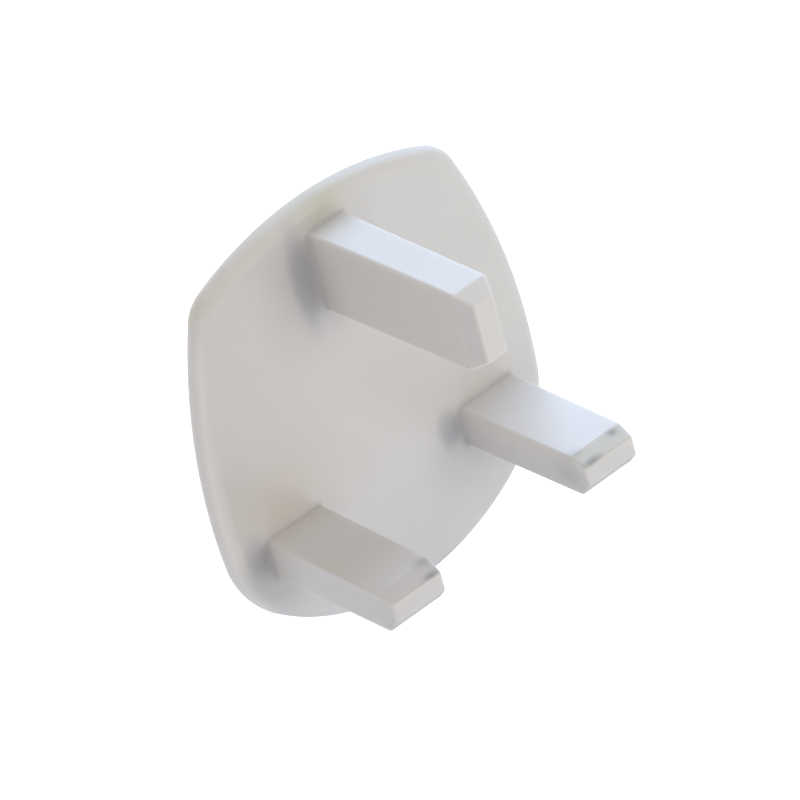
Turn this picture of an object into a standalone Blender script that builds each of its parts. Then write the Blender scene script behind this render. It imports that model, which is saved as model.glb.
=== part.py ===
# A safety cover for a three-pin wall socket, moulded in one piece.
# It stands as it does in the wall: +Z is up, the pins point along +Y, and the room is on the -Y side.
# The origin is on the plate's pin side, at the centre of the pin pattern.

import math

import bmesh
import bpy
import numpy as np

mm = 0.001

# Pin pattern, which the socket sets
pin_spacing = 22.2 * mm         # between the axes of the two flat pins
earth_rise = 22.2 * mm          # the earth pin's axis above those of the flat pins

# Flat pins, which lie wide side up; their ends are bevelled differently above, below and at the sides
flat_pin_width = 6.15 * mm      # at the plate
flat_pin_height = 4.05 * mm
flat_pin_length = 15.95 * mm
flat_pin_top_bevel_length = 1.7 * mm
flat_pin_top_bevel_depth = 0.7 * mm
flat_pin_bottom_bevel_length = 1.2 * mm
flat_pin_bottom_bevel_depth = 1.2 * mm
flat_pin_side_bevel_length = 1.4 * mm
flat_pin_side_bevel_depth = 0.2 * mm

# Earth pin, which stands on edge; all four sides of its end are bevelled over the same length
earth_pin_width = 4.05 * mm
earth_pin_height = 7.8 * mm
earth_pin_length = 19.85 * mm
earth_pin_bevel_length = 1.5 * mm
earth_pin_top_bevel_depth = 1.0 * mm
earth_pin_side_bevel_depth = 0.8 * mm   # also of the bottom

pin_draft = 0.007               # narrowing of each side of a pin per length, so that it leaves its mould
pin_edge_radius = 0.3 * mm      # rounding of the pins' edges
pin_edge_steps = 3

# Plate: a shield of three bowed sides and two pairs of rounded corners
plate_thickness = 2.6 * mm
shoulder_width = 28.0 * mm      # across the upper corners
shoulder_drop = 0.9 * mm        # of the upper corners below the earth pin's top
hip_reach = 3.2 * mm            # of the lower corners beyond the flat pins' sides
hip_drop = 0.8 * mm             # of the lower corners below the flat pins
top_bow = 3.45 * mm             # rise of each side's arc over its chord
side_bow = 1.85 * mm
bottom_bow = 8.75 * mm
shoulder_radius = 3.85 * mm
hip_radius = 9.75 * mm
rim_land = 0.2 * mm             # flat band left between the two rounded edges of the rim
rim_steps = 6
arc_step = math.radians(3.0)    # turn of one straight piece of the outline

# Heights of the pins' axes over the origin
flat_pin_z = -earth_rise / 2
earth_pin_z = earth_rise / 2

# Corners of the shield's right half, before rounding, as (x, z)
shoulder = np.array([shoulder_width / 2, earth_pin_z + earth_pin_height / 2 - shoulder_drop])
hip = np.array([
    (pin_spacing + flat_pin_width) / 2 + hip_reach,
    flat_pin_z - flat_pin_height / 2 - hip_drop,
])


def clear_scene():
    for item in list(bpy.data.objects):
        bpy.data.objects.remove(item, do_unlink=True)


def make_collection(name):
    collection = bpy.data.collections.new(name)
    bpy.context.scene.collection.children.link(collection)
    return collection


def milky_plastic():
    material = bpy.data.materials.new("milky_plastic")
    material.use_nodes = True
    shader = material.node_tree.nodes["Principled BSDF"]
    shader.inputs["Base Color"].default_value = (0.62, 0.59, 0.56, 1.0)
    shader.inputs["Roughness"].default_value = 0.35
    shader.inputs["Metallic"].default_value = 0.0
    return material


def unit(vector):
    return vector / np.linalg.norm(vector)


def bowed_side(start, end, bow):
    """Centre and radius of the arc that runs clockwise from start to end, bow outside their chord."""
    half = np.linalg.norm(end - start) / 2
    radius = (half**2 + bow**2) / (2 * bow)
    along = unit(end - start)
    outward = np.array([-along[1], along[0]])
    return (start + end) / 2 + outward * (bow - radius), radius


def corner_centre(first, second, corner, corner_radius):
    """Centre of the circle of corner_radius that touches both arcs from inside, next to their corner."""
    (centre_a, radius_a), (centre_b, radius_b) = first, second
    reach_a = radius_a - corner_radius
    reach_b = radius_b - corner_radius
    apart = np.linalg.norm(centre_b - centre_a)
    along = unit(centre_b - centre_a)
    across = np.array([-along[1], along[0]])
    run = (reach_a**2 - reach_b**2 + apart**2) / (2 * apart)
    rise = math.sqrt(reach_a**2 - run**2)
    candidates = [centre_a + along * run + across * side * rise for side in (1, -1)]
    return min(candidates, key=lambda point: np.linalg.norm(point - corner))


def arc_points(centre, radius, start_direction, end_direction):
    """Points of a clockwise arc, from just after its start to its end."""
    start = math.atan2(start_direction[1], start_direction[0])
    end = math.atan2(end_direction[1], end_direction[0])
    if end > start:
        end -= 2 * math.pi
    steps = max(2, math.ceil((start - end) / arc_step))
    angles = np.linspace(start, end, steps + 1)[1:]
    return centre + radius * np.stack([np.cos(angles), np.sin(angles)], axis=1)


def shield_outline():
    """The plate's closed outline as (x, z) points, clockwise from the middle of the top."""
    mirror = np.array([-1.0, 1.0])
    top = bowed_side(shoulder * mirror, shoulder, top_bow)
    side = bowed_side(shoulder, hip, side_bow)
    bottom = bowed_side(hip, hip * mirror, bottom_bow)
    upper = corner_centre(top, side, shoulder, shoulder_radius)
    lower = corner_centre(side, bottom, hip, hip_radius)
    up = np.array([0.0, 1.0])
    from_top = unit(upper - top[0])
    from_side_above = unit(upper - side[0])
    from_side_below = unit(lower - side[0])
    from_bottom = unit(lower - bottom[0])
    right_half = np.concatenate([
        arc_points(*top, up, from_top),
        arc_points(upper, shoulder_radius, from_top, from_side_above),
        arc_points(*side, from_side_above, from_side_below),
        arc_points(lower, hip_radius, from_side_below, from_bottom),
        arc_points(*bottom, from_bottom, -up),
    ])
    middle_of_top = top[0] + top[1] * up
    left_half = right_half[-2::-1] * mirror
    return np.concatenate([[middle_of_top], right_half, left_half])


def flat_outline_mesh(name, points, thickness):
    """A closed slab of an (x, y) outline, extruded by half its thickness to each side."""
    curve = bpy.data.curves.new(name + "_outline", "CURVE")
    curve.dimensions = "2D"
    curve.fill_mode = "BOTH"
    curve.extrude = thickness / 2
    spline = curve.splines.new("POLY")
    spline.points.add(len(points) - 1)
    for target, (x, y) in zip(spline.points, points):
        target.co = (x, y, 0.0, 1.0)
    spline.use_cyclic_u = True
    guide = bpy.data.objects.new(name + "_outline", curve)
    bpy.context.scene.collection.objects.link(guide)
    evaluated = guide.evaluated_get(bpy.context.evaluated_depsgraph_get())
    mesh = bpy.data.meshes.new_from_object(evaluated)
    bpy.data.objects.remove(guide, do_unlink=True)
    shape = bmesh.new()
    shape.from_mesh(mesh)
    bmesh.ops.remove_doubles(shape, verts=shape.verts, dist=0.001 * mm)
    bmesh.ops.dissolve_limit(shape, angle_limit=math.radians(0.1), verts=shape.verts, edges=shape.edges)
    shape.to_mesh(mesh)
    shape.free()
    return mesh


def add_edge_rounding(target, radius, steps):
    bevel = target.modifiers.new("rounded_edges", "BEVEL")
    bevel.width = radius
    bevel.segments = steps
    bevel.limit_method = "ANGLE"
    bevel.angle_limit = math.radians(40.0)
    return bevel


def make_plate(collection, material):
    """The shield, upright, with its pin side on the origin's plane and a rounded rim."""
    mesh = flat_outline_mesh("outlet_cover", shield_outline(), plate_thickness)
    mesh.name = "outlet_cover"
    mesh.materials.clear()
    mesh.materials.append(material)
    plate = bpy.data.objects.new("outlet_cover", mesh)
    plate.rotation_euler = (math.radians(90.0), 0.0, 0.0)
    plate.location = (0.0, -plate_thickness / 2, 0.0)
    collection.objects.link(plate)
    add_edge_rounding(plate, (plate_thickness - rim_land) / 2, rim_steps)
    return plate


def side_distance(half, length, bevel, along):
    """A pin side's distance from the axis: it narrows evenly with the draft and faster over the bevel."""
    bevel_length, bevel_depth = bevel
    into_bevel = max(0.0, along - (length - bevel_length))
    return half - pin_draft * along - bevel_depth * into_bevel / bevel_length


def make_pin(name, collection, centre, size, side_bevel, top_bevel, bottom_bevel):
    """A drafted bar along +Y, rooted in the middle of the plate; a bevel is (length, depth)."""
    width, height, length = size

    def set_section(corners, along):
        across = side_distance(width / 2, length, side_bevel, along)
        above = side_distance(height / 2, length, top_bevel, along)
        below = side_distance(height / 2, length, bottom_bevel, along)
        for corner in corners:
            corner.co.x = math.copysign(across, corner.co.x)
            corner.co.z = above if corner.co.z > 0 else -below
            corner.co.y = along

    stations = sorted({length - bevel[0] for bevel in (side_bevel, top_bevel, bottom_bevel)} | {length})
    shape = bmesh.new()
    bmesh.ops.create_cube(shape, size=1.0)
    shape.faces.ensure_lookup_table()
    root = min(shape.faces, key=lambda face: face.calc_center_median().y)
    end = max(shape.faces, key=lambda face: face.calc_center_median().y)
    set_section(root.verts, -plate_thickness / 2)
    set_section(end.verts, stations[0])
    for station in stations[1:]:
        extruded = bmesh.ops.extrude_face_region(shape, geom=[end])["geom"]
        bmesh.ops.delete(shape, geom=[end], context="FACES_ONLY")
        end = next(item for item in extruded if isinstance(item, bmesh.types.BMFace))
        set_section(end.verts, station)
    bmesh.ops.recalc_face_normals(shape, faces=shape.faces)
    mesh = bpy.data.meshes.new(name)
    shape.to_mesh(mesh)
    shape.free()
    pin = bpy.data.objects.new(name, mesh)
    pin.location = centre
    pin.hide_render = True
    pin.display_type = "WIRE"
    collection.objects.link(pin)
    add_edge_rounding(pin, pin_edge_radius, pin_edge_steps)
    return pin


def make_pins(collection):
    flat_size = (flat_pin_width, flat_pin_height, flat_pin_length)
    pins = [
        make_pin(name, collection, (side * pin_spacing / 2, 0.0, flat_pin_z), flat_size,
                 (flat_pin_side_bevel_length, flat_pin_side_bevel_depth),
                 (flat_pin_top_bevel_length, flat_pin_top_bevel_depth),
                 (flat_pin_bottom_bevel_length, flat_pin_bottom_bevel_depth))
        for name, side in (("line_pin", -1), ("neutral_pin", 1))
    ]
    earth_size = (earth_pin_width, earth_pin_height, earth_pin_length)
    earth_bevel = (earth_pin_bevel_length, earth_pin_side_bevel_depth)
    earth_top_bevel = (earth_pin_bevel_length, earth_pin_top_bevel_depth)
    pins.append(make_pin("earth_pin", collection, (0.0, 0.0, earth_pin_z), earth_size,
                         earth_bevel, earth_top_bevel, earth_bevel))
    return pins


def fuse(body, pieces):
    for piece in pieces:
        union = body.modifiers.new(piece.name, "BOOLEAN")
        union.operation = "UNION"
        union.solver = "EXACT"
        union.object = piece


def shade(mesh):
    mesh.shade_smooth()
    mesh.set_sharp_from_angle(angle=math.radians(40.0))


def build():
    clear_scene()
    parts = make_collection("outlet_safety_cover")
    cutters = make_collection("outlet_safety_cover_cutters")
    plate = make_plate(parts, milky_plastic())
    fuse(plate, make_pins(cutters))
    shade(plate.data)


build()
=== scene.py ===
# Looks of a safety cover for a three-pin wall socket: one moulding of milky plastic.
# Frame of the part: +Z up, pins along +Y, origin on the plate's pin side, everything in metres.

import math

import bmesh
import bpy
import numpy as np
from mathutils import Matrix, Vector
from mathutils.geometry import delaunay_2d_cdt


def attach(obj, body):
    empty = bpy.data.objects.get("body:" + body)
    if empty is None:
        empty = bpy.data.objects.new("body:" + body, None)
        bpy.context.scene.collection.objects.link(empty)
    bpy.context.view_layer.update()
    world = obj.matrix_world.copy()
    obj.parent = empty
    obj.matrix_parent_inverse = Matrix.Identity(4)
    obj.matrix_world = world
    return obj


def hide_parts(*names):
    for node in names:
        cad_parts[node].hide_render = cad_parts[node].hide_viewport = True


mm = 0.001


plate = {
    "thickness": 2.6 * mm,
    "shoulder": (14.0 * mm, 14.1 * mm),     # upper corner before rounding, as (x, z)
    "hip": (17.375 * mm, -13.925 * mm),     # lower corner before rounding
    "topBow": 3.45 * mm,                    # rise of each side's arc over its chord
    "sideBow": 1.85 * mm,
    "bottomBow": 8.75 * mm,
    "shoulderRadius": 3.85 * mm,
    "hipRadius": 9.75 * mm,
    "rimLand": 0.2 * mm,                    # flat band between the two rounded edges of the rim
    "rimSteps": 12,
    "turnStep": math.radians(1.5),          # turn of one straight piece of the outline
    "faceSpacing": 0.9 * mm,                # between the points inside the pin side
    "faceMargin": 0.45 * mm,                # kept free along its edges
    "latticeRise": 0.866,                   # between its rows of points, in spacings
    "joinTolerance": 1e-9,                  # of the triangulation
    "shadingRing": 0.1 * mm,                # width of the ring that keeps the shading of the flats even
    "roomRings": 22,
    "sinkDepth": 0.05 * mm,                 # faint sinks of the room side behind the pins
    "sinkReach": 1.4 * mm,
    "sinkCore": 0.6,                        # share of a pin's section over which a sink is flat
    "sinkFade": 6,                          # power with which the sinks fade towards the rim
    "mergeDistance": 0.002 * mm,            # joins the surfaces along their shared edges
}


def unit(vector):
    return vector / np.linalg.norm(vector)


def bowedSide(start, end, bow):
    # Circle through both ends that rises by bow over the chord: radius = (half^2 + bow^2) / (2 bow)
    half = np.linalg.norm(end - start) / 2
    radius = (half**2 + bow**2) / (2 * bow)
    along = unit(end - start)
    outward = np.array([-along[1], along[0]])
    return (start + end) / 2 + outward * (bow - radius), radius


def cornerCentre(first, second, corner, cornerRadius):
    # Centre of the circle inside both arcs that touches them: it lies where two circles meet,
    # drawn about the arcs' centres with the arcs' radii less the corner's
    (centreA, radiusA), (centreB, radiusB) = first, second
    reachA, reachB = radiusA - cornerRadius, radiusB - cornerRadius
    apart = np.linalg.norm(centreB - centreA)
    along = unit(centreB - centreA)
    across = np.array([-along[1], along[0]])
    run = (reachA**2 - reachB**2 + apart**2) / (2 * apart)
    rise = math.sqrt(reachA**2 - run**2)
    candidates = [centreA + along * run + across * side * rise for side in (1, -1)]
    return min(candidates, key=lambda point: np.linalg.norm(point - corner))


def arcRows(centre, radius, startDirection, endDirection):
    # Rows of centre x, centre z, radius and angle, clockwise and without the arc's first point
    start = math.atan2(startDirection[1], startDirection[0])
    end = math.atan2(endDirection[1], endDirection[0])
    if end > start:
        end -= 2 * math.pi
    steps = max(2, math.ceil((start - end) / plate["turnStep"]))
    angles = np.linspace(start, end, steps + 1)[1:]
    return np.column_stack([np.full((steps, 3), (*centre, radius)), angles])


def shieldRows():
    # The closed outline, clockwise from the middle of the top, as the circles it runs along
    mirror = np.array([-1.0, 1.0])
    shoulder, hip = np.array(plate["shoulder"]), np.array(plate["hip"])
    top = bowedSide(shoulder * mirror, shoulder, plate["topBow"])
    side = bowedSide(shoulder, hip, plate["sideBow"])
    bottom = bowedSide(hip, hip * mirror, plate["bottomBow"])
    upper = cornerCentre(top, side, shoulder, plate["shoulderRadius"])
    lower = cornerCentre(side, bottom, hip, plate["hipRadius"])
    up = np.array([0.0, 1.0])
    right = np.concatenate([
        arcRows(*top, up, unit(upper - top[0])),
        arcRows(upper, plate["shoulderRadius"], unit(upper - top[0]), unit(upper - side[0])),
        arcRows(*side, unit(upper - side[0]), unit(lower - side[0])),
        arcRows(lower, plate["hipRadius"], unit(lower - side[0]), unit(lower - bottom[0])),
        arcRows(*bottom, unit(lower - bottom[0]), -up),
    ])
    left = right[-2::-1] * (-1, 1, 1, -1) + (0, 0, 0, math.pi)
    middleOfTop = [(*top[0], top[1], math.pi / 2)]
    return np.concatenate([middleOfTop, right, left])


def insetOutline(rows, inset):
    # Point = centre + (radius - inset) * (cos angle, sin angle), for one inset or a column of them
    reach = rows[:, 2] - inset
    return np.stack([rows[:, 0] + reach * np.cos(rows[:, 3]), rows[:, 1] + reach * np.sin(rows[:, 3])], -1)


def rimSurface(rows):
    # A half round carried along the outline: inset = R (1 - sin t), and depth = R (1 - cos t) on the
    # pin side or thickness - R (1 + cos t) on the room side, for t from 0 to half a turn.
    # One more ring on each flat side keeps the shading of the flats even.
    radius = (plate["thickness"] - plate["rimLand"]) / 2
    front = np.linspace(0, math.pi / 2, plate["rimSteps"] + 1)
    back = front + math.pi / 2
    inset = radius * (1 - np.sin(np.concatenate([front, back])))
    depth = np.concatenate([
        radius * (1 - np.cos(front)),
        plate["thickness"] - radius * (1 + np.cos(back)),
    ])
    flatRing = [radius + plate["shadingRing"]]
    inset = np.concatenate([flatRing, inset, flatRing])
    depth = np.concatenate([[0], depth, [plate["thickness"]]])
    flat = insetOutline(rows[None].repeat(len(inset), 0).reshape(-1, 4), inset.repeat(len(rows)))
    return np.column_stack([flat[:, 0], -depth.repeat(len(rows)), flat[:, 1]]).reshape(len(inset), -1, 3)


flatPin = {
    "halfWidth": 3.075 * mm,                # at the plate
    "halfHeight": 2.025 * mm,
    "length": 15.95 * mm,
    "sideBevel": (1.4 * mm, 0.2 * mm),      # length and depth of the narrowing end
    "topBevel": (1.7 * mm, 0.7 * mm),
    "bottomBevel": (1.2 * mm, 1.2 * mm),
}
earthPin = {
    "halfWidth": 2.025 * mm,
    "halfHeight": 3.9 * mm,
    "length": 19.85 * mm,
    "sideBevel": (1.5 * mm, 0.8 * mm),
    "topBevel": (1.5 * mm, 1.0 * mm),
    "bottomBevel": (1.5 * mm, 0.8 * mm),
}
pinFinish = {
    "draft": 0.007,                         # narrowing of each side per length
    "edgeRadius": 0.3 * mm,
    "rootRadius": 0.25 * mm,                # fillet between a pin and the plate
    "rootRing": 0.08 * mm,                  # flat ring round the fillet
    "bevelBlend": 0.12 * mm,                # half length of the soft turn into the bevel
    "roundSteps": 8,                        # along the fillet and along the end's rounding
    "blendReach": 1.5,                      # of the closer stations round a turn, in half lengths
    "blendSteps": 6,
    "shaftSteps": 8,
    "shaftEnds": (1.5 * mm, 3.0 * mm),      # its first station from the plate and last one from the tip
    "ringLead": 0.05 * mm,                  # from a rounding to the next ring
    "cornerSteps": 6,
    "cornerLead": 0.12 * mm,                # from a corner to the next point along a side
    "leastCorner": 0.02 * mm,               # radius that is left at the tip
    "capRings": 7,
}
pinOffset = 11.1 * mm                       # half of the spacing, across and in height
pins = {                                    # each pin's sizes and its axis, as (x, z)
    "linePin": (flatPin, (-pinOffset, -pinOffset)),
    "neutralPin": (flatPin, (pinOffset, -pinOffset)),
    "earthPin": (earthPin, (0.0, pinOffset)),
}
pinSides = (("halfWidth", "sideBevel"), ("halfHeight", "topBevel"), ("halfHeight", "bottomBevel"))


def softStep(distance, blend):
    # 0 before the turn, distance itself after it, and (distance + blend)^2 / (4 blend) round it
    turned = (distance + blend)**2 / (4 * blend)
    return np.where(distance < -blend, 0, np.where(distance > blend, distance, turned))


def pinStations(sizes):
    # Distances from the plate, closer together where the shape turns
    length, reach = sizes["length"], pinFinish["blendReach"]
    quarter = np.linspace(0, math.pi / 2, pinFinish["roundSteps"] + 1)
    root = pinFinish["rootRadius"] * (1 - np.cos(quarter))
    blend = np.linspace(-reach, reach, pinFinish["blendSteps"] + 1) * pinFinish["bevelBlend"]
    turns = [length - sizes[bevel][0] + blend for _, bevel in pinSides]
    tip = length - pinFinish["edgeRadius"] * (1 - np.sin(quarter))
    first, last = pinFinish["shaftEnds"]
    shaft = np.linspace(first, length - last, pinFinish["shaftSteps"] + 1)
    lead = pinFinish["ringLead"]
    leads = [pinFinish["rootRadius"] + lead, length - pinFinish["edgeRadius"] - lead]
    return np.unique(np.round(np.concatenate([root, shaft, *turns, leads, tip]), 8))


def sideReach(sizes, half, bevel, along):
    # Distance of a side from the axis, with bevel slope m = depth / length:
    # half size - draft * s - m * softStep(s - L + length), less what the end's rounding of radius R
    # takes away, which is R sqrt(1 + m^2) - m u - sqrt(R^2 - u^2) from u = R m / sqrt(1 + m^2) on,
    # with u = s - L + R
    radius = pinFinish["edgeRadius"]
    length, depth = sizes[bevel]
    slope = depth / length
    steep = math.sqrt(1 + slope**2)
    narrowing = slope * softStep(along - sizes["length"] + length, pinFinish["bevelBlend"])
    intoTip = np.clip(along - sizes["length"] + radius, radius * slope / steep, radius)
    rounding = radius * steep - slope * intoTip - np.sqrt(radius**2 - intoTip**2)
    return sizes[half] - pinFinish["draft"] * along - narrowing - rounding


def pinSurface(sizes, axis):
    # A rounded rectangle carried along the pin. At the root it flares by r - sqrt(r^2 - (r - s)^2)
    # with the fillet's radius r. The corners' radius grows by the flare and falls at the tip as
    # sqrt(R^2 - u^2), with u = s - L + R.
    along = pinStations(sizes)
    radius, flareRadius = pinFinish["edgeRadius"], pinFinish["rootRadius"]
    toRoot = np.clip(flareRadius - along, 0, flareRadius)
    flare = flareRadius - np.sqrt(flareRadius**2 - toRoot**2)
    intoTip = np.clip(along - sizes["length"] + radius, 0, radius)
    corner = flare + np.maximum(np.sqrt(radius**2 - intoTip**2), pinFinish["leastCorner"])
    reaches = [flare + sideReach(sizes, half, bevel, along) for half, bevel in pinSides]
    # One more ring outside the flare lies in the plate's plane
    ring = pinFinish["rootRing"]
    along = np.concatenate([[0], along])
    across, above, below = (np.concatenate([[reach[0] + ring], reach])[:, None] for reach in reaches)
    corner = np.concatenate([[corner[0] + ring], corner])[:, None]
    # Round the section: a quarter turn at each corner, with one point a little along each side
    quarter = np.linspace(0, math.pi / 2, pinFinish["cornerSteps"] + 1)
    turn = np.concatenate([quarter[:1], quarter, quarter[-1:]])
    slide = np.tile(np.concatenate([[-1], np.zeros(len(quarter)), [1]]) * pinFinish["cornerLead"], 4)
    angle = np.concatenate([turn + math.pi / 2 * side for side in range(4)])
    signX = np.repeat([1, -1, -1, 1], len(turn))
    middleZ = np.where(np.repeat([1, 1, -1, -1], len(turn)) > 0, above - corner, corner - below)
    x = signX * (across - corner) + corner * np.cos(angle) - slide * np.sin(angle)
    z = middleZ + corner * np.sin(angle) + slide * np.cos(angle)
    # The end face: the last ring shrunk step by step on to the pin's axis
    shrink = np.linspace(1, 0, pinFinish["capRings"] + 1)[1:, None]
    x = np.concatenate([x, x[-1] * shrink])
    z = np.concatenate([z, z[-1] * shrink])
    along = np.concatenate([along, np.full(len(shrink), along[-1])])
    return np.stack([axis[0] + x, np.broadcast_to(along[:, None], x.shape), axis[1] + z], -1)


def gridFaces(rowCount, columnCount, offset):
    # Quads of a grid whose columns close on themselves
    row, column = np.meshgrid(np.arange(rowCount - 1), np.arange(columnCount), indexing="ij")
    following = (column + 1) % columnCount
    corners = [row * columnCount + column, row * columnCount + following,
               (row + 1) * columnCount + following, (row + 1) * columnCount + column]
    return np.stack(corners, -1).reshape(-1, 4) + offset


def pinSideFace(rows, edge, holes):
    # The flat face between the rim and the pins: a triangular lattice of points kept clear of every
    # edge, joined with the edge loops by a Delaunay triangulation. A point is inside the convex
    # outline if it lies behind the tangent at each outline point. A triangle is in a pin's root, and
    # left out, if its middle is less than the corner radius from the root's section less that radius.
    spacing, margin = plate["faceSpacing"], plate["faceMargin"]
    low, high = edge.min(0), edge.max(0)
    rowSpacing = spacing * plate["latticeRise"]
    x, z = np.meshgrid(np.arange(low[0], high[0], spacing), np.arange(low[1], high[1], rowSpacing))
    x = x + (np.arange(len(x)) % 2)[:, None] * spacing / 2
    lattice = np.column_stack([x.ravel(), z.ravel()])
    outward = np.stack([np.cos(rows[:, 3]), np.sin(rows[:, 3])], -1)
    inside = ((lattice[:, None] - edge) * outward).sum(-1).max(1) < -margin
    for hole in holes:
        centre, half = (hole.max(0) + hole.min(0)) / 2, (hole.max(0) - hole.min(0)) / 2
        inside &= (np.abs(lattice - centre) - half).max(1) > margin
    loops = [edge, *holes]
    starts = np.cumsum([0] + [len(loop) for loop in loops])
    sides = np.concatenate([
        start + np.column_stack([np.arange(len(loop)), (np.arange(len(loop)) + 1) % len(loop)])
        for start, loop in zip(starts, loops)
    ])
    points = np.concatenate([*loops, lattice[inside]])
    # Its output kind 1 is the triangles inside the outermost loop
    filled = delaunay_2d_cdt(points.tolist(), sides.tolist(), [], 1, plate["joinTolerance"], False)
    flat, triangles = np.array(filled[0]), np.array(filled[2])
    middle = flat[triangles].mean(1)
    corner = pinFinish["edgeRadius"] + pinFinish["rootRadius"] + pinFinish["rootRing"]
    for hole in holes:
        centre, half = (hole.max(0) + hole.min(0)) / 2, (hole.max(0) - hole.min(0)) / 2
        beyond = np.maximum(np.abs(middle - centre) - half + corner, 0)
        keep = np.linalg.norm(beyond, axis=1) > corner
        triangles, middle = triangles[keep], middle[keep]
    return np.column_stack([flat[:, 0], np.zeros(len(flat)), flat[:, 1]]), triangles


def roomSideFace(edge):
    # The last rim ring shrunk step by step on to the plate's middle, with a faint sink behind each
    # pin: depth = sinkDepth * exp(-(distance outside its core / sinkReach)^2) * (1 - shrink^sinkFade)
    shrink = np.linspace(1, 0, plate["roomRings"] + 1)[:, None, None]
    centre = edge.mean(0)
    grid = centre + (edge - centre) * shrink
    settled = 1 - shrink[:, :, 0]**plate["sinkFade"]
    for sizes, axis in pins.values():
        core = np.array([sizes["halfWidth"], sizes["halfHeight"]]) * plate["sinkCore"]
        beyond = np.abs(grid[..., [0, 2]] - axis) - core
        distance = np.linalg.norm(np.maximum(beyond, 0), axis=-1)
        grid[..., 1] += plate["sinkDepth"] * settled * np.exp(-(distance / plate["sinkReach"])**2)
    return grid


def coverMesh(name):
    rows = shieldRows()
    rim = rimSurface(rows)
    grids = [rim, roomSideFace(rim[-1])]
    grids += [pinSurface(sizes, axis) for sizes, axis in pins.values()]
    face, triangles = pinSideFace(rows, rim[0][:, [0, 2]], [grid[0][:, [0, 2]] for grid in grids[2:]])
    starts = np.cumsum([0] + [grid.shape[0] * grid.shape[1] for grid in grids])
    points = np.concatenate([grid.reshape(-1, 3) for grid in grids] + [face])
    quads = np.concatenate([gridFaces(*grid.shape[:2], start) for grid, start in zip(grids, starts)])
    mesh = bpy.data.meshes.new(name)
    mesh.from_pydata(points.tolist(), [], quads.tolist() + (triangles + starts[-1]).tolist())
    shape = bmesh.new()
    shape.from_mesh(mesh)
    bmesh.ops.remove_doubles(shape, verts=shape.verts, dist=plate["mergeDistance"])
    bmesh.ops.recalc_face_normals(shape, faces=shape.faces)
    openEdges = sum(not edge.is_manifold for edge in shape.edges)
    print(f"cover mesh: {len(shape.faces)} faces, {openEdges} open edges")
    shape.to_mesh(mesh)
    shape.free()
    mesh.shade_smooth()
    return mesh


class Signal:
    # One output socket, with arithmetic that adds Math nodes
    def __init__(self, board, socket):
        self.board = board
        self.socket = socket

    def maths(self, operation, *values):
        return self.board.add("ShaderNodeMath", {"operation": operation}, dict(enumerate(values)))

    def __add__(self, other):
        return self.maths("ADD", self, other)

    def __radd__(self, other):
        return self.maths("ADD", other, self)

    def __sub__(self, other):
        return self.maths("SUBTRACT", self, other)

    def __rsub__(self, other):
        return self.maths("SUBTRACT", other, self)

    def __mul__(self, other):
        return self.maths("MULTIPLY", self, other)

    def __rmul__(self, other):
        return self.maths("MULTIPLY", other, self)

    def __truediv__(self, other):
        return self.maths("DIVIDE", self, other)

    def __pow__(self, other):
        return self.maths("POWER", self, other)

    def __abs__(self):
        return self.maths("ABSOLUTE", self)

    def atMost(self, other):
        return self.maths("MINIMUM", self, other)

    def atLeast(self, other):
        return self.maths("MAXIMUM", self, other)

    def between(self, start, full):
        # 0 at start and 1 at full, in a straight line from one to the other and held beyond them
        return ((self - start) / (full - start)).atLeast(0.0).atMost(1.0)

    def fading(self):
        # exp(-value)
        return self.maths("EXPONENT", self * -1.0)


class NodeBoard:
    def __init__(self, owner):
        owner.use_nodes = True
        self.tree = owner.node_tree
        self.tree.nodes.clear()

    def add(self, kind, settings=None, inputs=None, output=0):
        # Settings come first, because some of them change the sockets
        node = self.tree.nodes.new(kind)
        for name, value in (settings or {}).items():
            setattr(node, name, value)
        for name, value in (inputs or {}).items():
            if isinstance(value, Signal):
                self.tree.links.new(value.socket, node.inputs[name])
            else:
                node.inputs[name].default_value = value
        if node.outputs:
            return Signal(self, node.outputs[output])

    def mixColour(self, factor, first, second):
        # Inputs 6 and 7 and output 2 are the node's colour sockets
        return self.add("ShaderNodeMix", {"data_type": "RGBA"}, {0: factor, 6: first, 7: second}, 2)


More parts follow.
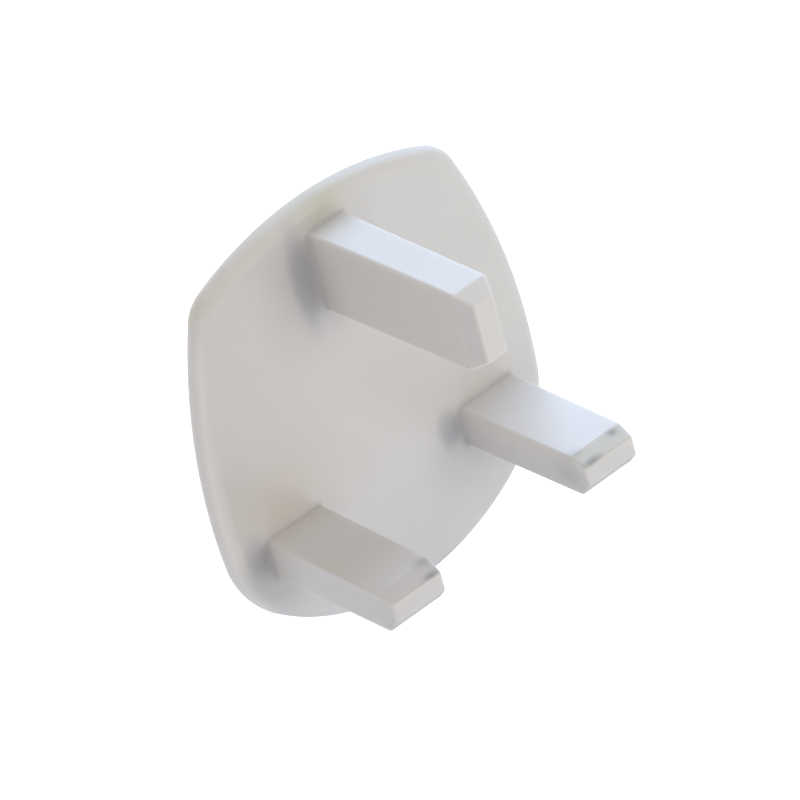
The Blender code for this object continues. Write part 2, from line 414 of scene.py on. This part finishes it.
plasticLook = {
    "body": (0.648, 0.632, 0.594, 1.0),       # at the line pin's side
    "shadedBody": (0.594, 0.566, 0.538, 1.0),   # painted shade: darker and warmer at the neutral pin's side, where less light falls
    "warm": (0.600, 0.570, 0.540, 1.0),       # in the soft clouds
    "sideShade": (0.535, 0.492, 0.447, 1.0),     # painted shade: darker tint of the plate beside the neutral pin
    "foot": (0.562, 0.546, 0.532, 1.0),       # painted shade: greyer towards the plate's foot, where less light falls
    "rimSideLight": (0.658, 0.638, 0.612, 1.0),    # painted light: the thin rim's sides lighter, as light through it would make them
    # painted shade on the rim's top and foot
    "rimTop": (0.600, 0.570, 0.520, 1.0),
    "rimFoot": (0.520, 0.510, 0.500, 1.0),
    "olive": (0.530, 0.515, 0.410, 1.0),      # painted shade above the earth pin
    "tan": (0.600, 0.548, 0.470, 1.0),        # painted shade above the flat pins
    "rootShade": (0.330, 0.320, 0.355, 1.0),     # painted shade in the corners round the pins, a shadow cast mostly to one side
    "darkSpot": (0.200, 0.200, 0.190, 1.0),       # dark spots at the pins' ends, mostly painted shade, and painted shade on the rim and the plate's foot
    "endFlank": (0.548, 0.528, 0.505, 1.0),   # painted shade on the side bevels of the earth pin
    "endShelf": (0.520, 0.505, 0.462, 1.0),   # painted shade on the top bevel of the line pin
    "warmShelf": (0.500, 0.465, 0.438, 1.0),  # painted shade on the top bevel of the neutral pin
    "endFoot": (0.500, 0.495, 0.480, 1.0),    # painted shade on the bottom bevels of the flat pins
    "shadedTop": (0.520, 0.475, 0.425, 1.0),    # painted shade on the top of the neutral pin, half way along
    "clouds": (180.0, 3.0),                   # noise scale and detail
    "cloudShare": 0.35,                       # of the warm tone
    "cloudRoughness": 0.08,
    "grain": (2600.0, 2.0),
    "grainStrength": 0.02,                    # of its bump
    "grainDepth": 0.1 * mm,
    "grainRoughness": 0.04,
    "sideShadeShare": 0.33,
    "roughness": 0.3,
    "rimRoughness": 0.35,                     # added on the rim and the room side
    "shaftRoughness": 0.15,                   # added on the pins
    "endFootRoughness": 0.5,                  # added on the flat pins' bottom bevels
    "ior": 1.5,
    "subsurface": 0.25,
    "subsurfaceRadius": (1.0, 0.9, 0.8),
    "subsurfaceScale": 1.5 * mm,
}
toneFades = {
    # where each tone begins and where it is full
    "shadedBody": (-18.0 * mm, 18.0 * mm),      # along x
    "sideShade": (3.0 * mm, 11.0 * mm),
    "rimSideLight": (12.5 * mm, 15.5 * mm),        # along x to both sides
    "foot": (-4.0 * mm, -18.0 * mm),          # down z
    "rimFoot": (-15.0 * mm, -18.0 * mm),
    "rimTop": (12.0 * mm, 15.0 * mm),         # up z
    "rimFront": (0.0, -0.4 * mm),             # from the pin side into the rim
    "rimBack": (-plate["thickness"], 0.8 * mm - plate["thickness"]),
    "rimRoughness": (0.0, -0.06 * mm),
    "shaftRoughness": (0.0, 2.0 * mm),        # up the pins
    "upperHalf": (0.0, 1.0 * mm),             # the earth pin's half of the plate, up z
    "lowerHalf": (0.0, -1.0 * mm),            # the flat pins' half
    "neutralHalf": (0.0, 1.0 * mm),           # the neutral pin's half, along x
}
plateReach = {
    # how far each tone of the plate goes up a pin, and how far over the rim
    "sideShade": (0.6 * mm, 2.1 * mm),
    "linePin": (5.0 * mm, 2.55 * mm),
    "neutralPin": (5.0 * mm, 2.55 * mm),
    "earthPin": (1.2 * mm, 2.55 * mm),
    "rootShade": (0.7 * mm, 1.2 * mm),
}
topShade = {                                   # painted shade on the neutral pin's top
    "rise": (1.75 * mm, 1.87 * mm),           # above the pin's axis, where it begins and is full
    "root": (0.0, 0.5 * mm),
    "middle": 9.0 * mm,                       # along the pin
    "halfLength": 4.5 * mm,
    "strength": 0.85,
}
bevelEdge = {
    "slack": 0.12 * mm,                       # the tone begins this far under the bevel
    "blend": 0.06 * mm,
    "lead": 0.08 * mm,
}
# painted shade on the plate above each pin
shadesAbovePins = {
    # colour, height over the pin's top, half width, half height and strength
    "linePin": ("tan", 0.0, 4.0 * mm, 1.5 * mm, 0.20),
    "neutralPin": ("tan", 2.5 * mm, 5.5 * mm, 4.0 * mm, 0.5),
    "earthPin": ("olive", 1.5 * mm, 2.2 * mm, 1.6 * mm, 0.8),
}
rootShades = {
    "lineWidth": 0.35 * mm,                   # of the painted shade line round each root
    "lineStrength": 0.17,
    "patches": {
        # distance from the pin's side, rise over its axis, growth over its half height and strength
        "linePin": (1.45 * mm, 0.6 * mm, -0.1 * mm, 0.54),
        "neutralPin": (1.35 * mm, 1.0 * mm, 0.2 * mm, 0.48),
        "earthPin": (1.6 * mm, 0.2 * mm, 0.9 * mm, 0.56),
    },
    "patchWidth": 1.2 * mm,                   # half width of the soft painted shadow beside each root
    "lean": (-2.0 * mm, 2.0 * mm),            # across the pin, from the weak side to the strong one
    "weakSide": 0.1,                          # share of the patch on the weak side
    "filletStart": (0.0, 0.02 * mm),          # up the pin
    "filletEnd": (1.4, 0.4),                  # in fillet radii, where it is gone and where it is full
    "filletStrength": 0.35,                   # painted shade that keeps the fillets from shining as light lines
    "roughness": 0.5,
}
darkSpots = [
    # middle as (x, depth, z), half sizes and strength; first the flat pins' top bevels, whose inner spots
    # are painted shade over highlights
    ((-12.8 * mm, 14.65 * mm, -9.3 * mm), (0.50 * mm, 0.35 * mm, 0.5 * mm), 0.65),
    ((-8.9 * mm, 14.30 * mm, -9.2 * mm), (0.75 * mm, 0.60 * mm, 0.5 * mm), 0.30),
    ((-9.4 * mm, 15.80 * mm, -9.7 * mm), (1.00 * mm, 0.40 * mm, 0.25 * mm), 0.95),
    ((8.9 * mm, 14.30 * mm, -9.2 * mm), (0.75 * mm, 0.60 * mm, 0.5 * mm), 0.45),
    ((9.2 * mm, 15.80 * mm, -9.7 * mm), (0.85 * mm, 0.40 * mm, 0.25 * mm), 0.85),
    # painted shade under the lower corners of their ends, and darker on the line pin's side near its end
    ((-13.6 * mm, 15.40 * mm, -12.5 * mm), (0.60 * mm, 0.70 * mm, 0.5 * mm), 0.25),
    ((-8.6 * mm, 15.40 * mm, -12.5 * mm), (0.60 * mm, 0.70 * mm, 0.5 * mm), 0.25),
    ((13.6 * mm, 15.40 * mm, -12.5 * mm), (0.60 * mm, 0.70 * mm, 0.5 * mm), 0.25),
    ((8.6 * mm, 15.40 * mm, -12.5 * mm), (0.60 * mm, 0.70 * mm, 0.5 * mm), 0.25),
    ((-8.1 * mm, 13.80 * mm, -11.2 * mm), (0.60 * mm, 1.80 * mm, 1.4 * mm), 0.28),
    # painted shade on the rim below the pins, and on the plate's foot beside the neutral pin
    ((-3.0 * mm, -0.35 * mm, -21.9 * mm), (2.40 * mm, 0.28 * mm, 0.7 * mm), 0.55),
    ((14.5 * mm, 0.0, -16.0 * mm), (4.00 * mm, 1.00 * mm, 3.5 * mm), 0.08),
]


def placeParts(board, place):
    # x, y and z of a place. On the cover y is its depth: above 0 up the pins, below 0 in the plate.
    return [board.add("ShaderNodeSeparateXYZ", {}, {"Vector": place}, axis) for axis in "XYZ"]


def softSpot(x, z, halfWidth, halfHeight, strength):
    # strength * exp(-(x / half width)^2 - (z / half height)^2)
    across, up = x / halfWidth, z / halfHeight
    return (across * across + up * up).fading() * strength


def nearPlate(depth, tone):
    # 1 on the plate's pin side. It falls to 0 at climb up a pin, and on the rim from a third of
    # rimDepth to all of it.
    climb, rimDepth = plateReach[tone]
    return depth.between(climb, 0.0) * depth.between(-rimDepth, -rimDepth / 3)


def bevelMask(reach, depth, sizes, half, bevel):
    # 1 where a point is past the bevel's start and its distance from the pin's axis is at least
    # half size - draft * start - slope * (depth - start) - slack
    length, narrowing = sizes[bevel]
    start = sizes["length"] - length
    past = depth - start
    straight = sizes[half] - pinFinish["draft"] * start - bevelEdge["slack"]
    gap = reach - straight + past * (narrowing / length)
    return gap.between(0.0, bevelEdge["blend"]) * past.between(0.0, bevelEdge["lead"])


def darkSpotMask(x, depth, z):
    # strength * exp(-(distance from the middle / half size)^2), summed over the dark spots
    mask = 0.0
    for middle, half, strength in darkSpots:
        across, along, up = ((place - at) / size for place, at, size in zip((x, depth, z), middle, half))
        spread = across * across + along * along + up * up
        mask = spread.fading() * strength + mask
    return mask.atMost(1.0)


def rootShadeMask(x, depth, z):
    # Painted shade near each pin's section: exp(-(distance / line width)^2) round it, and on both sides a
    # painted shadow that is flat in its middle, exp(-((across / half width)^2 + (up / half height)^2)^2).
    # The shadow is stronger on the side that looks towards +x. On the fillets the mask is at least their
    # strength, painted shade that hides their highlights.
    mask = 0.0
    for name, (sizes, axis) in pins.items():
        beside = abs(x - axis[0]) - sizes["halfWidth"]
        above = abs(z - axis[1]) - sizes["halfHeight"]
        outside = beside.atLeast(above).atLeast(0.0) / rootShades["lineWidth"]
        line = (outside * outside).fading() * rootShades["lineStrength"]
        offset, rise, growth, strength = rootShades["patches"][name]
        across = (beside - offset) / rootShades["patchWidth"]
        up = (z - axis[1] - rise) / (sizes["halfHeight"] + growth)
        spread = across * across + up * up
        patch = (spread * spread).fading() * strength
        strongSide = (x - axis[0]).between(*rootShades["lean"])
        patch = patch * (strongSide * (1.0 - rootShades["weakSide"]) + rootShades["weakSide"])
        mask = line.atLeast(patch) + mask
    mask = mask.atMost(1.0) * nearPlate(depth, "rootShade")
    gone, full = (share * pinFinish["rootRadius"] for share in rootShades["filletEnd"])
    fillet = depth.between(*rootShades["filletStart"]) * depth.between(gone, full)
    return mask.atLeast(fillet * rootShades["filletStrength"])


def plateColour(board, cloud, x, depth, z):
    # The body's tones, painted shade on the body, painted light and shade on the rim and painted shade
    # over the pins, each mixed over the one before
    look, fades = plasticLook, toneFades
    colour = board.mixColour(x.between(*fades["shadedBody"]), look["body"], look["shadedBody"])
    colour = board.mixColour(cloud * look["cloudShare"], colour, look["warm"])
    sideShade = x.between(*fades["sideShade"]) * nearPlate(depth, "sideShade")
    colour = board.mixColour(sideShade * look["sideShadeShare"], colour, look["sideShade"])
    colour = board.mixColour(z.between(*fades["foot"]), colour, look["foot"])
    band = depth.between(*fades["rimFront"]) * depth.between(*fades["rimBack"])
    # painted light on the rim's sides, painted shade on its top and foot
    for tone, place in (("rimSideLight", abs(x)), ("rimTop", z), ("rimFoot", z)):
        colour = board.mixColour(band * place.between(*fades[tone]), colour, look[tone])
    for name, (sizes, axis) in pins.items():
        tone, rise, *spot = shadesAbovePins[name]
        shadeAbove = softSpot(x - axis[0], z - axis[1] - sizes["halfHeight"] - rise, *spot)
        colour = board.mixColour(shadeAbove * nearPlate(depth, name), colour, look[tone])
    return colour


def endColour(board, colour, underside, x, depth, z):
    # Painted shade on the neutral pin's top, on the bevels and under the flat pins' ends, each mixed over
    # what is there
    look, fades = plasticLook, toneFades
    upper, lower = z.between(*fades["upperHalf"]), z.between(*fades["lowerHalf"])
    neutral = x.between(*fades["neutralHalf"])
    height = z + pinOffset
    onTop = height.between(*topShade["rise"]) * lower * neutral
    along = (depth - topShade["middle"]) / topShade["halfLength"]
    halfWay = (along * along).fading() * topShade["strength"] * depth.between(*topShade["root"])
    colour = board.mixColour(onTop * halfWay, colour, look["shadedTop"])
    flank = bevelMask(abs(x), depth, earthPin, "halfWidth", "sideBevel")
    colour = board.mixColour(flank * upper, colour, look["endFlank"])
    shelf = bevelMask(height, depth, flatPin, "halfHeight", "topBevel")
    shelfTone = board.mixColour(neutral, look["endShelf"], look["warmShelf"])
    colour = board.mixColour(shelf * lower, colour, shelfTone)
    return board.mixColour(underside, colour, look["endFoot"])


def milkyPlastic():
    look, fades = plasticLook, toneFades
    material = bpy.data.materials.new("milkyPlastic")
    board = NodeBoard(material)
    place = board.add("ShaderNodeTexCoord", output="Object")
    cloud, grain = (
        board.add("ShaderNodeTexNoise", {}, {"Vector": place, "Scale": scale, "Detail": detail})
        for scale, detail in (look["clouds"], look["grain"])
    )
    x, depth, z = placeParts(board, place)
    rootShade = rootShadeMask(x, depth, z)
    # painted shade on the flat pins' bottom bevels
    underside = bevelMask((z + pinOffset) * -1.0, depth, flatPin, "halfHeight", "bottomBevel")
    underside = underside * z.between(*fades["lowerHalf"])
    colour = plateColour(board, cloud, x, depth, z)
    colour = board.mixColour(rootShade, colour, look["rootShade"])
    colour = endColour(board, colour, underside, x, depth, z)
    colour = board.mixColour(darkSpotMask(x, depth, z), colour, look["darkSpot"])
    roughness = look["roughness"] + (cloud - 0.5) * look["cloudRoughness"]
    roughness = roughness + (grain - 0.5) * look["grainRoughness"]
    roughness = roughness + depth.between(*fades["rimRoughness"]) * look["rimRoughness"]
    roughness = roughness + depth.between(*fades["shaftRoughness"]) * look["shaftRoughness"]
    roughness = roughness + underside * look["endFootRoughness"] + rootShade * rootShades["roughness"]
    bump = board.add("ShaderNodeBump", {}, {
        "Height": grain,
        "Strength": look["grainStrength"],
        "Distance": look["grainDepth"],
    })
    shader = board.add("ShaderNodeBsdfPrincipled", {}, {
        "Base Color": colour,
        "Roughness": roughness,
        "IOR": look["ior"],
        "Subsurface Weight": look["subsurface"],
        "Subsurface Radius": look["subsurfaceRadius"],
        "Subsurface Scale": look["subsurfaceScale"],
        "Normal": bump,
    })
    board.add("ShaderNodeOutputMaterial", {}, {"Surface": shader})
    return material


floorLook = {
    "level": -120.0 * mm,       # far enough below for the shadow to stay out of the photograph's frame
    "width": 6.0,
    "colour": (0.86, 0.86, 0.86, 1.0),
    "whitening": 0.5,           # added for what looks at the floor, so that it is white away from shadows
    "fade": (0.35, 1.15),       # distances between which it runs into the white backdrop
}
surround = {
    "colour": (0.985, 0.99, 1.01, 1.0),
    "strength": 0.46,
}
lamps = {
    # azimuth and elevation as for the camera, distance, width, height, radiance, colour
    "keyPanel": (191.0, 5.0, 0.25, 0.09, 0.09, 6.9, (1.0, 0.975, 0.945)),
    "sidePanel": (91.0, 18.0, 0.60, 0.36, 0.30, 1.65, (1.0, 0.97, 0.96)),
    "topPanel": (180.0, 89.0, 0.60, 0.36, 0.36, 1.3, (1.0, 0.975, 0.94)),
    "coolPanel": (-59.0, 34.0, 0.60, 0.58, 0.34, 3.5, (0.70, 0.92, 1.32)),
    "roomPanel": (0.0, 4.0, 0.60, 0.30, 0.30, 1.6, (1.25, 0.98, 0.72)),
}
viewpoint = {
    # fitted to the pins' edges in the photograph, with angles in degrees
    "azimuth": 147.063,
    "elevation": 32.662,
    "roll": -15.341,
    "distance": 0.5556,
    "aim": (-0.796 * mm, 2.675 * mm, -2.826 * mm),
    "lens": 295.62,
    "sensor": 36.0,
    "clip": (0.05, 20.0),
}


def seenDirectly(board):
    # 1 for rays from the camera, from a mirror or through glass
    rays = ("Is Camera Ray", "Is Glossy Ray", "Is Transmission Ray")
    camera, mirror, glass = (board.add("ShaderNodeLightPath", output=ray) for ray in rays)
    return camera.atLeast(mirror).atLeast(glass)


def makeFloor():
    half = floorLook["width"] / 2
    corners = np.array([(-1, -1, 0), (1, -1, 0), (1, 1, 0), (-1, 1, 0)]) * half
    mesh = bpy.data.meshes.new("floor")
    mesh.from_pydata((corners + (0, 0, floorLook["level"])).tolist(), [], [(0, 1, 2, 3)])
    floor = bpy.data.objects.new("floor", mesh)
    bpy.context.scene.collection.objects.link(floor)
    material = bpy.data.materials.new("paleFloor")
    board = NodeBoard(material)
    paint = board.add("ShaderNodeBsdfDiffuse", {}, {"Color": floorLook["colour"]})
    lift = board.add("ShaderNodeEmission", {}, {"Strength": seenDirectly(board) * floorLook["whitening"]})
    both = board.add("ShaderNodeAddShader", {}, {0: paint, 1: lift})
    # The distance along the floor is sqrt(x^2 + y^2)
    x, y, _ = placeParts(board, board.add("ShaderNodeTexCoord", output="Object"))
    far = ((x * x + y * y)**0.5).between(*floorLook["fade"])
    white = board.add("ShaderNodeEmission", {}, {"Strength": 1.0})
    watched = board.add("ShaderNodeLightPath", output="Is Camera Ray")
    floorShader = board.add("ShaderNodeMixShader", {}, {0: far * watched, 1: both, 2: white})
    board.add("ShaderNodeOutputMaterial", {}, {"Surface": floorShader})
    mesh.materials.append(material)


def makeSurround():
    world = bpy.data.worlds.new("surround")
    bpy.context.scene.world = world
    board = NodeBoard(world)
    seen = seenDirectly(board)
    colour = board.mixColour(seen, surround["colour"], (1.0, 1.0, 1.0, 1.0))
    strength = surround["strength"] + seen * (1.0 - surround["strength"])
    light = board.add("ShaderNodeBackground", {}, {"Color": colour, "Strength": strength})
    board.add("ShaderNodeOutputWorld", {}, {"Surface": light})


def bearing(azimuth, elevation):
    # Unit vector from the object: (sin a cos e, -cos a cos e, sin e)
    azimuth, elevation = math.radians(azimuth), math.radians(elevation)
    level = math.cos(elevation)
    return Vector((math.sin(azimuth) * level, -math.cos(azimuth) * level, math.sin(elevation)))


def makeLamp(name, azimuth, elevation, distance, width, height, radiance, colour):
    lamp = bpy.data.lights.new(name, "AREA")
    lamp.shape = "RECTANGLE"
    lamp.size, lamp.size_y = width, height
    # A panel shines with radiance = power / (4 * area)
    lamp.energy = 4 * radiance * width * height
    lamp.color = colour
    holder = bpy.data.objects.new(name, lamp)
    bpy.context.scene.collection.objects.link(holder)
    towards = bearing(azimuth, elevation)
    holder.location = towards * distance
    holder.rotation_euler = towards.to_track_quat("Z", "Y").to_euler()
    holder.visible_camera = False


def makeCamera():
    camera = bpy.data.objects.new("camera", bpy.data.cameras.new("camera"))
    bpy.context.scene.collection.objects.link(camera)
    camera.data.lens = viewpoint["lens"]
    camera.data.sensor_width = viewpoint["sensor"]
    camera.data.clip_start, camera.data.clip_end = viewpoint["clip"]
    turn = (Matrix.Rotation(math.radians(viewpoint["azimuth"]), 4, "Z")
            @ Matrix.Rotation(math.radians(90.0 - viewpoint["elevation"]), 4, "X")
            @ Matrix.Rotation(math.radians(viewpoint["roll"]), 4, "Z"))
    towards = bearing(viewpoint["azimuth"], viewpoint["elevation"])
    stand = Vector(viewpoint["aim"]) + towards * viewpoint["distance"]
    camera.matrix_world = Matrix.Translation(stand) @ turn
    bpy.context.scene.camera = camera


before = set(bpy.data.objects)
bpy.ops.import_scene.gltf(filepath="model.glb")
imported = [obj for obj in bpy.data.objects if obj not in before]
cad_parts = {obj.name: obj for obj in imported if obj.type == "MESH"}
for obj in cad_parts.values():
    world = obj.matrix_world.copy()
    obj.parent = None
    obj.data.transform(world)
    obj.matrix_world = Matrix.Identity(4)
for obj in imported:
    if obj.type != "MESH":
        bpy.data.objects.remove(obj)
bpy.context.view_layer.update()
print("frame loaded")

cover = bpy.data.objects.new("coverMoulding", coverMesh("coverMoulding"))
bpy.context.scene.collection.objects.link(cover)
cover.data.materials.append(milkyPlastic())
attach(cover, "root")
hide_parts("outlet_cover")
print("cover dressed")

makeFloor()
makeSurround()
for lampName, lampValues in lamps.items():
    makeLamp(lampName, *lampValues)
makeCamera()
bpy.context.scene.view_settings.view_transform = "Standard"
print("floor, light and camera set")
